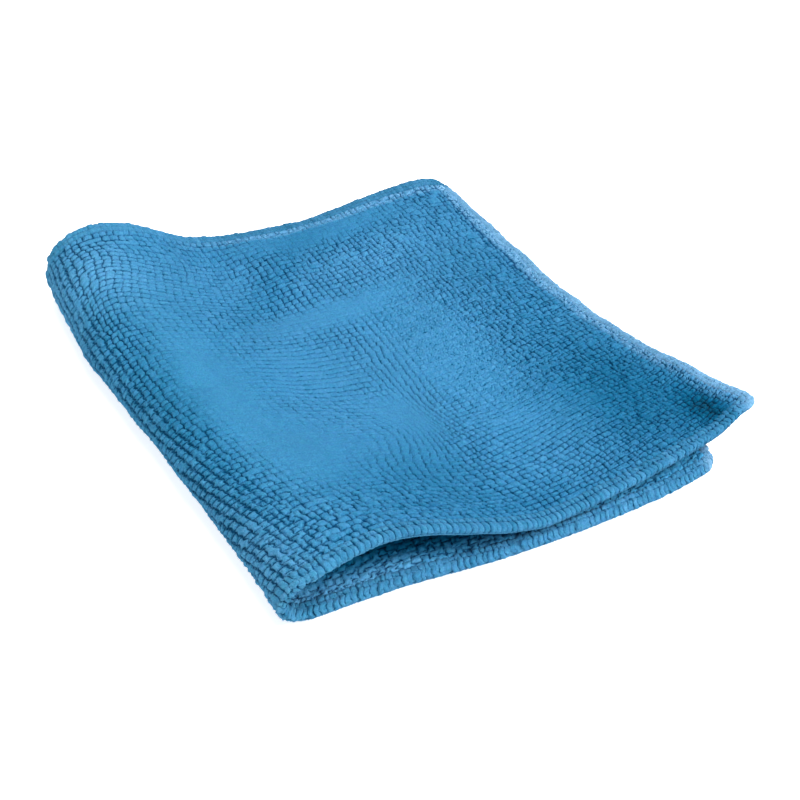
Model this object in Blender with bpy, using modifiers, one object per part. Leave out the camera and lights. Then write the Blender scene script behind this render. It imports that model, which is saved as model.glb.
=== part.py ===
"""Terry cleaning cloth, folded once, lying on a flat surface.

One cut length of looped cloth, 0.4 x 0.2 m, is folded in half: the lower layer lies
flat, the cloth turns over in a soft roll along the left side, and the upper layer lies
on the lower one with the bends it was left in.  The front hem arches open beside the
roll, the back hem is puffed up at its left end and lifts at its right end, and the
upper layer's right front corner stands off the lower one.

Frame: metres, +Z up, X along the front hem from the fold to the free end, Y along the
fold from front to back, origin in the middle of the resting face.
"""
import bpy
import bmesh
import numpy as np

# ---------------------------------------------------------------- sizes, in millimetres
MM = 0.001
LAYER = 4.0               # one layer of the cloth over its pile, front face to back face
LAYER_GAP = 0.8           # least air between the lower and the upper layer
CORNER_R = 7.0            # rounded corners of the cut cloth
HEM_BEVEL = 1.1           # the hem's rounded edge
CELLS_ACROSS = 66         # cells from hem to hem, round the fold
CELLS_ALONG = 29          # cells along the fold
FOLD_CROWDING = 0.45      # how much closer the cells lie in the fold than in the layers
CENTRE_X, CENTRE_Y = 0.75, -2.4   # middle of the outline in the tables' own x and y

# One row for each cross-section, square to the fold, front to back.
#   y                   place of the section along the fold
#   under_x             right end of the lower layer
#   foot_x              where the lower layer leaves the ground and turns up
#   nose_x, nose_z      outermost point of the fold
#   crest_x, crest_z    highest point of the fold
#   h1 .. h6            height of the upper layer at the places TOP_X
#   edge_x, edge_z      right end of the upper layer
# All of them are on the middle of the cloth's thickness.
TOP_X = (-62, -35, -5, 25, 55, 80)
STATION_COLS = ("y", "under_x", "foot_x", "nose_x", "nose_z", "crest_x", "crest_z",
                "h1", "h2", "h3", "h4", "h5", "h6", "edge_x", "edge_z")
STATIONS = (
    (-100,  79, -85,  -98,  9,  -91, 18.0, 19.0, 15.5,  7.8,  7.5,  8.8,  9.8, 108, 13.5),
    (-80,   83, -85,  -98, 10,  -89, 17.5, 16.0, 12.0,  8.5,  7.6,  9.0,  9.6, 103, 13.0),
    (-44,   91, -86,  -99, 11,  -87, 17.5, 13.5, 10.0,  8.5,  7.8,  9.5, 10.5,  96, 10.0),
    (0,     96, -87, -101, 11,  -87, 18.0, 13.5,  9.5,  8.0,  8.0,  9.5, 10.0,  93,  8.5),
    (44,    98, -89, -103, 11,  -86, 19.5, 15.5, 10.0,  8.5,  9.5, 10.5, 11.0,  95,  9.5),
    (80,    96, -89, -101, 12,  -84, 24.5, 20.5, 12.0,  9.8, 11.0, 13.5, 15.0,  94, 12.5),
    (100,   94, -88,  -99, 14,  -82, 29.5, 26.0, 15.0, 11.5, 12.3, 17.0, 20.5,  91, 17.0),
)

# The hems wander: y of each layer's front and back hem at some places along them.
EDGE_COLS = ("x", "front_under", "front_top", "back_under", "back_top")
EDGES = (
    (-100,  -97,  -99,  99,  99),
    (-60,   -99,  -94, 100, 100),
    (-20,  -104, -102,  99,  99),
    (20,   -106, -102,  99, 100),
    (60,   -105,  -99, 100, 101),
    (100,   -99,  -92,  99,  97),
)

# Soft creases of the upper layer: two ends, half width, height (below 0 a trough).
CREASE_COLS = ("x0", "y0", "x1", "y1", "half_width", "height")
CREASES = (
    (-45,   98, -30,  48, 14, -1.5),
    (-14,   80, -10,  52, 11,  1.6),
    (-20,  -22,   0, -18, 12, -0.6),
    (84,   -92,  96, -72,  8, -1.5),
)

FLAT_KNOTS = 4            # knots of the flat lower layer ahead of the foot
NOSE_KNOT = FLAT_KNOTS + 3


def clear_scene():
    """start from an empty file, without closing it"""
    for obj in list(bpy.data.objects):
        bpy.data.objects.remove(obj, do_unlink=True)


def hermite(xk, yk, x):
    """smooth curve through the rows yk at the places xk, read at x"""
    xk = np.asarray(xk, float)
    yk = np.asarray(yk, float)
    x = np.asarray(x, float)
    tail = (1,) * (yk.ndim - 1)
    h = np.diff(xk)
    d = np.diff(yk, axis=0) / h.reshape(-1, *tail)
    hl = h[:-1].reshape(-1, *tail)
    hr = h[1:].reshape(-1, *tail)
    m = np.empty_like(yk)
    m[1:-1] = (d[:-1] * hr + d[1:] * hl) / (hl + hr)
    m[0] = d[0]
    m[-1] = d[-1]
    i = np.clip(np.searchsorted(xk, x, side="right") - 1, 0, len(xk) - 2)
    t = ((x - xk[i]) / h[i]).reshape(-1, *tail)
    w = h[i].reshape(-1, *tail)
    return ((2 * t**3 - 3 * t**2 + 1) * yk[i] + (t**3 - 2 * t**2 + t) * w * m[i]
            + (-2 * t**3 + 3 * t**2) * yk[i + 1] + (t**3 - t**2) * w * m[i + 1])


def section_knots(row):
    """knots (x, z) of one section, from the lower right hem round the fold to the upper one"""
    r = dict(zip(STATION_COLS[1:], row))
    low = LAYER / 2
    pts = [(r["under_x"] + (r["foot_x"] - r["under_x"]) * k / FLAT_KNOTS, low)
           for k in range(FLAT_KNOTS + 1)]
    for t in (np.pi / 6, np.pi / 3):
        pts.append((r["foot_x"] - (r["foot_x"] - r["nose_x"]) * np.sin(t),
                    r["nose_z"] - (r["nose_z"] - low) * np.cos(t)))
    pts.append((r["nose_x"], r["nose_z"]))
    for t in (np.pi / 6, np.pi / 3):
        pts.append((r["crest_x"] - (r["crest_x"] - r["nose_x"]) * np.cos(t),
                    r["nose_z"] + (r["crest_z"] - r["nose_z"]) * np.sin(t)))
    pts.append((r["crest_x"], r["crest_z"]))
    pts += [(x, r["h%d" % (k + 1)]) for k, x in enumerate(TOP_X)]
    pts.append((r["edge_x"], r["edge_z"]))
    return np.array(pts)


def crease_height(x, y):
    z = np.zeros_like(x)
    for x0, y0, x1, y1, half, height in CREASES:
        dx, dy = x1 - x0, y1 - y0
        t = np.clip(((x - x0) * dx + (y - y0) * dy) / (dx * dx + dy * dy), 0, 1)
        d2 = (x - x0 - t * dx) ** 2 + (y - y0 - t * dy) ** 2
        z += height * np.exp(-d2 / half**2)
    return z


def middle_surface(a, b):
    """Grid of points on the middle of the folded cloth, in mm.

    a runs from 0 at the lower right hem round the fold to 1 at the upper right hem,
    in equal lengths of cloth; b runs from 0 at the front hem to 1 at the back one."""
    table = np.array(STATIONS, float)
    place = (table[:, 0] - table[0, 0]) / (table[-1, 0] - table[0, 0])
    rows = hermite(place, table[:, 1:], b)
    knots = np.stack([section_knots(r) for r in rows])
    chord = np.sqrt((np.diff(knots.mean(0), axis=0) ** 2).sum(1))
    u = np.concatenate([[0], np.cumsum(np.sqrt(np.maximum(chord, 1.0)))])
    fine = np.unique(np.concatenate([np.linspace(u[i], u[i + 1], 25) for i in range(len(u) - 1)]))
    curve = hermite(u, np.swapaxes(knots, 0, 1), fine)
    nose = np.interp(u[NOSE_KNOT], fine, np.arange(len(fine)))
    out = np.zeros((len(a), len(b), 3))
    nose_a = np.zeros(len(b))
    for j in range(len(b)):
        line = curve[:, j]
        run = np.concatenate([[0], np.cumsum(np.sqrt((np.diff(line, axis=0) ** 2).sum(1)))])
        nose_a[j] = np.interp(nose, np.arange(len(fine)), run) / run[-1]
        out[:, j, 0] = np.interp(a * run[-1], run, line[:, 0])
        out[:, j, 2] = np.interp(a * run[-1], run, line[:, 1])
    turn = nose_a.mean()

    # the hems' own wander, blended from the lower to the upper layer round the fold
    w = np.clip((a - turn) / 0.06 + 0.5, 0, 1)
    w = (w * w * (3 - 2 * w))[:, None]
    edges = np.array(EDGES, float)
    x = out[:, :, 0]
    at = np.clip(x, edges[0, 0], edges[-1, 0]).ravel()
    f_low, f_top, b_low, b_top = (hermite(edges[:, 0], edges[:, k], at).reshape(x.shape) for k in (1, 2, 3, 4))
    front = f_low * (1 - w) + f_top * w
    back = b_low * (1 - w) + b_top * w
    out[:, :, 1] = front + (back - front) * b[None, :]

    # creases, and the upper layer eases on to the lower one
    upper = np.clip((a - turn - 0.06) / 0.06, 0, 1)[:, None]
    z = out[:, :, 2] + upper * crease_height(x, out[:, :, 1])
    rest = LAYER * 1.5 + LAYER_GAP
    eased = rest + 0.5 + 0.5 * np.exp(np.minimum((z - rest - 1.0) / 0.5, 0))
    z = np.where((upper > 0.5) & (z < rest + 1.0), eased, z)
    out[:, :, 2] = np.maximum(z, LAYER / 2)          # nothing dips below the ground
    return out


def crowd(t):
    """0..1 to 0..1, with the cells closer together half way, in the fold"""
    return t + FOLD_CROWDING / (2 * np.pi) * np.sin(2 * np.pi * t)


def round_corners(a, b, wide, deep):
    """cloth coordinates with the cut cloth's four corners rounded"""
    A = a * wide
    B = b * deep
    r = CORNER_R
    p = np.where(A < r, (r - A) / r, np.where(A > wide - r, (A - wide + r) / r, 0))
    q = np.where(B < r, (r - B) / r, np.where(B > deep - r, (B - deep + r) / r, 0))
    p2 = p * np.sqrt(1 - q * q / 2) * r
    q2 = q * np.sqrt(1 - p * p / 2) * r
    A = np.where(A < r, r - p2, np.where(A > wide - r, wide - r + p2, A))
    B = np.where(B < r, r - q2, np.where(B > deep - r, deep - r + q2, B))
    return A / wide, B / deep


def read_grid(grid, a, b):
    """a fine grid of points read between its nodes"""
    na, nb = grid.shape[0] - 1, grid.shape[1] - 1
    fa = np.clip(a, 0, 1) * na
    fb = np.clip(b, 0, 1) * nb
    i = np.minimum(fa.astype(int), na - 1)
    j = np.minimum(fb.astype(int), nb - 1)
    s = (fa - i)[:, None]
    t = (fb - j)[:, None]
    return ((grid[i, j] * (1 - s) + grid[i + 1, j] * s) * (1 - t)
            + (grid[i, j + 1] * (1 - s) + grid[i + 1, j + 1] * s) * t)


def cloth_material():
    mat = bpy.data.materials.new("cloth_blue")
    mat.use_nodes = True
    shader = mat.node_tree.nodes["Principled BSDF"]
    shader.inputs["Base Color"].default_value = (0.055, 0.27, 0.50, 1.0)
    shader.inputs["Roughness"].default_value = 0.9
    shader.inputs["Metallic"].default_value = 0.0
    mat.diffuse_color = (0.055, 0.27, 0.50, 1.0)
    return mat


def make_cloth(collection):
    fine = middle_surface(np.linspace(0, 1, 601), np.linspace(0, 1, 151))
    wide = np.sqrt((np.diff(fine, axis=0) ** 2).sum(2)).sum(0).mean()
    deep = np.sqrt((np.diff(fine, axis=1) ** 2).sum(2)).sum(1).mean()

    # a flat grid, whose own u and v become lengths along the cloth
    bm = bmesh.new()
    bmesh.ops.create_grid(bm, x_segments=CELLS_ACROSS, y_segments=CELLS_ALONG, size=1.0)
    u = np.array([(v.co.x + 1) / 2 for v in bm.verts])
    v_ = np.array([(v.co.y + 1) / 2 for v in bm.verts])
    a, b = round_corners(crowd(u), v_, wide, deep)
    points = read_grid(fine, a, b)
    for vert, p in zip(bm.verts, points):
        vert.co = ((p[0] - CENTRE_X) * MM, (p[1] - CENTRE_Y) * MM, p[2] * MM)
    mesh = bpy.data.meshes.new("cloth")
    bm.to_mesh(mesh)
    bm.free()
    mesh.shade_smooth()
    mesh.materials.append(cloth_material())
    cloth = bpy.data.objects.new("cloth", mesh)
    collection.objects.link(cloth)

    # the sheet gets its thickness, and the hem its rounded edge
    shell = cloth.modifiers.new("thickness", "SOLIDIFY")
    shell.thickness = LAYER * MM
    shell.offset = 0.0
    shell.use_even_offset = True
    hem = cloth.modifiers.new("hem_edge", "BEVEL")
    hem.width = HEM_BEVEL * MM
    hem.segments = 1
    hem.limit_method = "ANGLE"
    hem.angle_limit = np.radians(60)
    return cloth


def main():
    clear_scene()
    collection = bpy.data.collections.new("folded_cloth")
    bpy.context.scene.collection.children.link(collection)
    make_cloth(collection)


main()
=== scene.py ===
"""Looks of the folded terry cleaning cloth.

The cloth is built the way it is made: a thin ground fabric, folded once; rows of small
pile pillows standing on both of its faces; and an overlocked hem, whose stitches wrap the
cut edge all the way round.  Every piece is worked out in lengths along the flat cloth and
then carried on to the folded surface, so the pile bends round the roll as the cloth does.
"""

from math import cos, radians, sin

import bpy
import numpy as np
from mathutils import Matrix, Vector


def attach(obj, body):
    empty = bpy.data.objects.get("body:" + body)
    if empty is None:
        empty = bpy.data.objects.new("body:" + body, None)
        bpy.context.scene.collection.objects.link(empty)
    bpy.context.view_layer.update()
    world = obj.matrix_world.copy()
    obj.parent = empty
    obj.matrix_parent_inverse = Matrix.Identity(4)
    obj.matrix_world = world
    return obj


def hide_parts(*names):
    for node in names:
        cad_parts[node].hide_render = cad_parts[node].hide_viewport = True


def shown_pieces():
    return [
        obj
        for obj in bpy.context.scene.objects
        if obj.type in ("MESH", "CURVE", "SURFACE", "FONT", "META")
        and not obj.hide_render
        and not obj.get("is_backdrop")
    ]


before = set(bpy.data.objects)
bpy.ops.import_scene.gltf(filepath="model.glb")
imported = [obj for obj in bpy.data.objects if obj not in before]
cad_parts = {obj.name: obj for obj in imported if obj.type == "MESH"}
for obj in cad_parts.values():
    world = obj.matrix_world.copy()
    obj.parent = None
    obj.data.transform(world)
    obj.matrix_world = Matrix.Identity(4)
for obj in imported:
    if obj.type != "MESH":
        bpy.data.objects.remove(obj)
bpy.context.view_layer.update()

# ---------------------------------------------------------------- sizes, in millimetres
MM = 0.001
LAYER = 4.0               # one layer over its pile, front face to back face
LAYER_GAP = 0.8           # least air between the lower and the upper layer
CORNER_R = 7.0            # rounded corners of the cut cloth
CENTRE_X, CENTRE_Y = 0.75, -2.4   # middle of the outline in the tables' own x and y

GROUND = 0.6              # half the thickness of the ground fabric under the pile
PILE_FOOT = 0.7           # height over the middle of the grooves between the pillows
PILE_TOP = 2.0            # height over the middle of a pillow's crown
COLUMNS = 134             # columns of pillows, hem to hem round the fold, 3.0 mm each on average
ROWS = 76                 # courses of pillows along the fold, 2.6 mm each on average
BRICK = 15.0              # up to this far past the nose neighbouring columns lie as bricks
FIELD = 4.7               # where the pile begins, in from the cut edge
STITCH = 2.2              # stitch pitch along the hem
INSIDE = 34.0             # how far in from the hems the inner faces carry modelled pile

# One row for each cross-section, square to the fold, front to back.
#   y                   place of the section along the fold
#   under_x             right end of the lower layer
#   foot_x              where the lower layer leaves the ground and turns up
#   nose_x, nose_z      outermost point of the fold
#   crest_x, crest_z    highest point of the fold
#   h1 .. h6            height of the upper layer at the places TOP_X
#   edge_x, edge_z      right end of the upper layer
# All of them are on the middle of the cloth's thickness.
TOP_X = (-62, -35, -5, 25, 55, 80)
STATION_COLS = ("y", "under_x", "foot_x", "nose_x", "nose_z", "crest_x", "crest_z",
                "h1", "h2", "h3", "h4", "h5", "h6", "edge_x", "edge_z")
STATIONS = (
    (-100,  79, -85,  -98,  9,  -91, 18.0, 19.0, 15.5,  7.8,  7.5,  8.8,  9.8, 108, 13.5),
    (-80,   83, -85,  -98, 10,  -89, 17.5, 16.0, 12.0,  8.5,  7.6,  9.0,  9.6, 103, 13.0),
    (-44,   91, -86,  -99, 11,  -87, 17.5, 13.5, 10.0,  8.5,  7.8,  9.5, 10.5,  96, 10.0),
    (0,     96, -87, -101, 11,  -87, 18.0, 13.5,  9.5,  8.0,  8.0,  9.5, 10.0,  93,  8.5),
    (44,    98, -89, -103, 11,  -86, 19.5, 15.5, 10.0,  8.5,  9.5, 10.5, 11.0,  95,  9.5),
    (80,    96, -89, -101, 12,  -84, 24.5, 20.5, 12.0,  9.8, 11.0, 13.5, 15.0,  94, 12.5),
    (100,   94, -88,  -99, 14,  -82, 29.5, 26.0, 15.0, 11.5, 12.3, 17.0, 20.5,  91, 17.0),
)
# The hems wander: y of each layer's front and back hem at some places along them.
EDGE_COLS = ("x", "front_under", "front_top", "back_under", "back_top")
EDGES = (
    (-100,  -97,  -99,  99,  99),
    (-60,   -99,  -94, 100, 100),
    (-20,  -104, -102,  99,  99),
    (20,   -106, -102,  99, 100),
    (60,   -105,  -99, 100, 101),
    (100,   -99,  -92,  99,  97),
)
# Soft creases of the upper layer: two ends, half width, height (below 0 a trough).
CREASE_COLS = ("x0", "y0", "x1", "y1", "half_width", "height")
CREASES = (
    (-45,   98, -30,  48, 14, -1.5),
    (-14,   80, -10,  52, 11,  1.6),
    (-20,  -22,   0, -18, 12, -0.6),
    (84,   -92,  96, -72,  8, -1.5),
)
FLAT_KNOTS = 4            # knots of the flat lower layer ahead of the foot
NOSE_KNOT = FLAT_KNOTS + 3


# ---------------------------------------------------------------- the folded surface
def hermite(xk, yk, x):
    """smooth curve through the rows yk at the places xk, read at x"""
    xk = np.asarray(xk, float)
    yk = np.asarray(yk, float)
    x = np.asarray(x, float)
    tail = (1,) * (yk.ndim - 1)
    h = np.diff(xk)
    d = np.diff(yk, axis=0) / h.reshape(-1, *tail)
    hl = h[:-1].reshape(-1, *tail)
    hr = h[1:].reshape(-1, *tail)
    m = np.empty_like(yk)
    m[1:-1] = (d[:-1] * hr + d[1:] * hl) / (hl + hr)
    m[0] = d[0]
    m[-1] = d[-1]
    i = np.clip(np.searchsorted(xk, x, side="right") - 1, 0, len(xk) - 2)
    t = ((x - xk[i]) / h[i]).reshape(-1, *tail)
    w = h[i].reshape(-1, *tail)
    return ((2 * t**3 - 3 * t**2 + 1) * yk[i] + (t**3 - 2 * t**2 + t) * w * m[i]
            + (-2 * t**3 + 3 * t**2) * yk[i + 1] + (t**3 - t**2) * w * m[i + 1])


def smooth(t):
    t = np.clip(t, 0, 1)
    return t * t * (3 - 2 * t)


def section_knots(row):
    """knots (x, z) of one section, from the lower right hem round the fold to the upper one"""
    r = dict(zip(STATION_COLS[1:], row))
    low = LAYER / 2
    pts = [(r["under_x"] + (r["foot_x"] - r["under_x"]) * k / FLAT_KNOTS, low)
           for k in range(FLAT_KNOTS + 1)]
    for t in (np.pi / 6, np.pi / 3):
        pts.append((r["foot_x"] - (r["foot_x"] - r["nose_x"]) * np.sin(t),
                    r["nose_z"] - (r["nose_z"] - low) * np.cos(t)))
    pts.append((r["nose_x"], r["nose_z"]))
    for t in (np.pi / 6, np.pi / 3):
        pts.append((r["crest_x"] - (r["crest_x"] - r["nose_x"]) * np.cos(t),
                    r["nose_z"] + (r["crest_z"] - r["nose_z"]) * np.sin(t)))
    pts.append((r["crest_x"], r["crest_z"]))
    pts += [(x, r["h%d" % (k + 1)]) for k, x in enumerate(TOP_X)]
    pts.append((r["edge_x"], r["edge_z"]))
    return np.array(pts)


def crease_height(x, y):
    z = np.zeros_like(x)
    for x0, y0, x1, y1, half, height in CREASES:
        dx, dy = x1 - x0, y1 - y0
        t = np.clip(((x - x0) * dx + (y - y0) * dy) / (dx * dx + dy * dy), 0, 1)
        d2 = (x - x0 - t * dx) ** 2 + (y - y0 - t * dy) ** 2
        z += height * np.exp(-d2 / half**2)
    return z


def middle_surface(a, b):
    """Grid of points on the middle of the folded cloth, in mm, and where its nose is.

    a runs from 0 at the lower right hem round the fold to 1 at the upper right hem,
    in equal lengths of cloth; b runs from 0 at the front hem to 1 at the back one."""
    table = np.array(STATIONS, float)
    place = (table[:, 0] - table[0, 0]) / (table[-1, 0] - table[0, 0])
    rows = hermite(place, table[:, 1:], b)
    knots = np.stack([section_knots(r) for r in rows])
    chord = np.sqrt((np.diff(knots.mean(0), axis=0) ** 2).sum(1))
    u = np.concatenate([[0], np.cumsum(np.sqrt(np.maximum(chord, 1.0)))])
    fine = np.unique(np.concatenate([np.linspace(u[i], u[i + 1], 41) for i in range(len(u) - 1)]))
    curve = hermite(u, np.swapaxes(knots, 0, 1), fine)
    nose = np.interp(u[NOSE_KNOT], fine, np.arange(len(fine)))
    out = np.zeros((len(a), len(b), 3))
    nose_a = np.zeros(len(b))
    for j in range(len(b)):
        line = curve[:, j]
        run = np.concatenate([[0], np.cumsum(np.sqrt((np.diff(line, axis=0) ** 2).sum(1)))])
        nose_a[j] = np.interp(nose, np.arange(len(fine)), run) / run[-1]
        out[:, j, 0] = np.interp(a * run[-1], run, line[:, 0])
        out[:, j, 2] = np.interp(a * run[-1], run, line[:, 1])
    turn = nose_a.mean()

    # the hems' own wander, blended from the lower to the upper layer round the fold
    w = smooth((a - turn) / 0.06 + 0.5)[:, None]
    edges = np.array(EDGES, float)
    x = out[:, :, 0]
    at = np.clip(x, edges[0, 0], edges[-1, 0]).ravel()
    f_low, f_top, b_low, b_top = (hermite(edges[:, 0], edges[:, k], at).reshape(x.shape) for k in (1, 2, 3, 4))
    front = f_low * (1 - w) + f_top * w
    back = b_low * (1 - w) + b_top * w
    out[:, :, 1] = front + (back - front) * b[None, :]

    # creases, and the upper layer eases on to the lower one
    upper = np.clip((a - turn - 0.06) / 0.06, 0, 1)[:, None]
    z = out[:, :, 2] + upper * crease_height(x, out[:, :, 1])
    rest = LAYER * 1.5 + LAYER_GAP
    eased = rest + 0.5 + 0.5 * np.exp(np.minimum((z - rest - 1.0) / 0.5, 0))
    z = np.where((upper > 0.5) & (z < rest + 1.0), eased, z)
    out[:, :, 2] = np.maximum(z, LAYER / 2)
    return out, turn


class Cloth:
    """The folded cloth as a map: lengths A, B along the flat cloth and a height h over its
    middle, in mm, give a point in the room.  h above 0 is the side that shows outside."""

    NA, NB = 1401, 481

    def __init__(self):
        a = np.linspace(0, 1, self.NA)
        b = np.linspace(0, 1, self.NB)
        mid, self.turn = middle_surface(a, b)
        self.wide = np.sqrt((np.diff(mid, axis=0) ** 2).sum(2)).sum(0).mean()
        self.deep = np.sqrt((np.diff(mid, axis=1) ** 2).sum(2)).sum(1).mean()
        self.nose = self.turn * self.wide
        normal = self.normals(mid)

        # fine unevenness of a used cloth: slow waves, on the upper layer and the roll only
        A, B = np.meshgrid(a * self.wide, b * self.deep, indexing="ij")
        mid = mid + normal * (self.waves(A, B) * smooth((A - self.nose + 14) / 26))[:, :, None]
        self.mid = mid
        self.normal = self.normals(mid)

    @staticmethod
    def normals(mid):
        da = np.gradient(mid, axis=0)
        db = np.gradient(mid, axis=1)
        n = np.cross(da, db)
        return n / np.maximum(np.sqrt((n**2).sum(2, keepdims=True)), 1e-9)

    @staticmethod
    def waves(A, B):
        rng = np.random.default_rng(11)
        z = np.zeros_like(A)
        for _ in range(16):
            length = rng.uniform(13, 38)
            turn = rng.uniform(0, np.pi)
            z += 0.012 * length * np.sin(2 * np.pi * (A * np.cos(turn) + B * np.sin(turn)) / length
                                         + rng.uniform(0, 2 * np.pi)) / 4
        return np.clip(z, -0.4, 0.4)

    def read(self, grid, A, B):
        fa = np.clip(A / self.wide, 0, 1) * (self.NA - 1)
        fb = np.clip(B / self.deep, 0, 1) * (self.NB - 1)
        i = np.minimum(fa.astype(int), self.NA - 2)
        j = np.minimum(fb.astype(int), self.NB - 2)
        s = (fa - i)[..., None]
        t = (fb - j)[..., None]
        return ((grid[i, j] * (1 - s) + grid[i + 1, j] * s) * (1 - t)
                + (grid[i, j + 1] * (1 - s) + grid[i + 1, j + 1] * s) * t)

    def place(self, A, B, h):
        """points in metres, in the shared frame"""
        A, B, h = np.broadcast_arrays(np.asarray(A, float), np.asarray(B, float), np.asarray(h, float))
        p = self.read(self.mid, A, B) + self.read(self.normal, A, B) * h[..., None]
        # past the cut edge the surface runs on straight
        over_a = A - np.clip(A, 0, self.wide)
        over_b = B - np.clip(B, 0, self.deep)
        if np.any(over_a) or np.any(over_b):
            step = 1.5
            ia = np.clip(A, step, self.wide - step)
            ib = np.clip(B, step, self.deep - step)
            ta = (self.read(self.mid, ia + step, ib) - self.read(self.mid, ia - step, ib)) / (2 * step)
            tb = (self.read(self.mid, ia, ib + step) - self.read(self.mid, ia, ib - step)) / (2 * step)
            p = p + ta * over_a[..., None] + tb * over_b[..., None]
        p[..., 0] -= CENTRE_X
        p[..., 1] -= CENTRE_Y
        p[..., 2] = np.maximum(p[..., 2], 0.02)
        return p * MM

    def inset(self, A, B):
        """distance in from the cut edge, with its rounded corners"""
        x = np.minimum(A, self.wide - A)
        y = np.minimum(B, self.deep - B)
        corner = (x < CORNER_R) & (y < CORNER_R)
        return np.where(corner, CORNER_R - np.hypot(CORNER_R - x, CORNER_R - y), np.minimum(x, y))

    def edge(self, q, d):
        """(A, B) of the place q mm along the cut edge and d mm in from it"""
        W, D, R = self.wide, self.deep, CORNER_R
        q, d = np.broadcast_arrays(np.asarray(q, float), np.asarray(d, float))
        arc = R * np.pi / 2
        runs = (W - 2 * R, arc, D - 2 * R, arc, W - 2 * R, arc, D - 2 * R, arc)
        ends = np.cumsum(runs)
        q = np.mod(q, ends[-1])
        part = np.searchsorted(ends, q, side="right").clip(0, 7)
        s = q - np.concatenate([[0], ends])[part]
        A = np.zeros(q.shape)
        B = np.zeros(q.shape)
        corner = {1: (W - R, R, -np.pi / 2), 3: (W - R, D - R, 0), 5: (R, D - R, np.pi / 2), 7: (R, R, np.pi)}
        for k, (ca, cb, start) in corner.items():
            m = part == k
            t = start + s[m] / R
            A[m] = ca + (R - d[m]) * np.cos(t)
            B[m] = cb + (R - d[m]) * np.sin(t)
        for k, (oa, ob, ta, tb) in {0: (R, 0, 1, 0), 2: (W, R, 0, 1), 4: (W - R, D, -1, 0), 6: (0, D - R, 0, -1)}.items():
            m = part == k
            A[m] = oa + ta * s[m] - tb * d[m]
            B[m] = ob + tb * s[m] + ta * d[m]
        return A, B

    def edge_length(self):
        return 2 * (self.wide + self.deep - 4 * CORNER_R) + 2 * np.pi * CORNER_R


cloth = Cloth()


# ---------------------------------------------------------------- mesh helpers
def new_piece(name, points, faces, material, values=None):
    """a mesh from points (n, 3) and groups of equal faces, with point values for its material"""
    mesh = bpy.data.meshes.new(name)
    mesh.from_pydata(points.tolist(), [], [f for group in faces for f in group.tolist()])
    mesh.shade_smooth()
    for key, data in (values or {}).items():
        layer = mesh.attributes.new(key, "FLOAT", "POINT")
        layer.data.foreach_set("value", np.asarray(data, np.float32).ravel())
    mesh.materials.append(material)
    mesh.validate()
    obj = bpy.data.objects.new(name, mesh)
    bpy.context.scene.collection.objects.link(obj)
    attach(obj, "root")
    return obj


# ---------------------------------------------------------------- materials
def node(tree, kind, **sockets):
    n = tree.nodes.new(kind)
    for key, value in sockets.items():
        n.inputs[key.replace("_", " ")].default_value = value
    return n


def math_node(tree, operation, a, b):
    n = tree.nodes.new("ShaderNodeMath")
    n.operation = operation
    for k, x in enumerate((a, b)):
        if isinstance(x, (int, float)):
            n.inputs[k].default_value = x
        else:
            tree.links.new(x, n.inputs[k])
    return n.outputs[0]


PALE = (0.175, 0.350, 0.560, 1)          # painted sheen: pale colour of fluffed fibre ends at the hems


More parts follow.
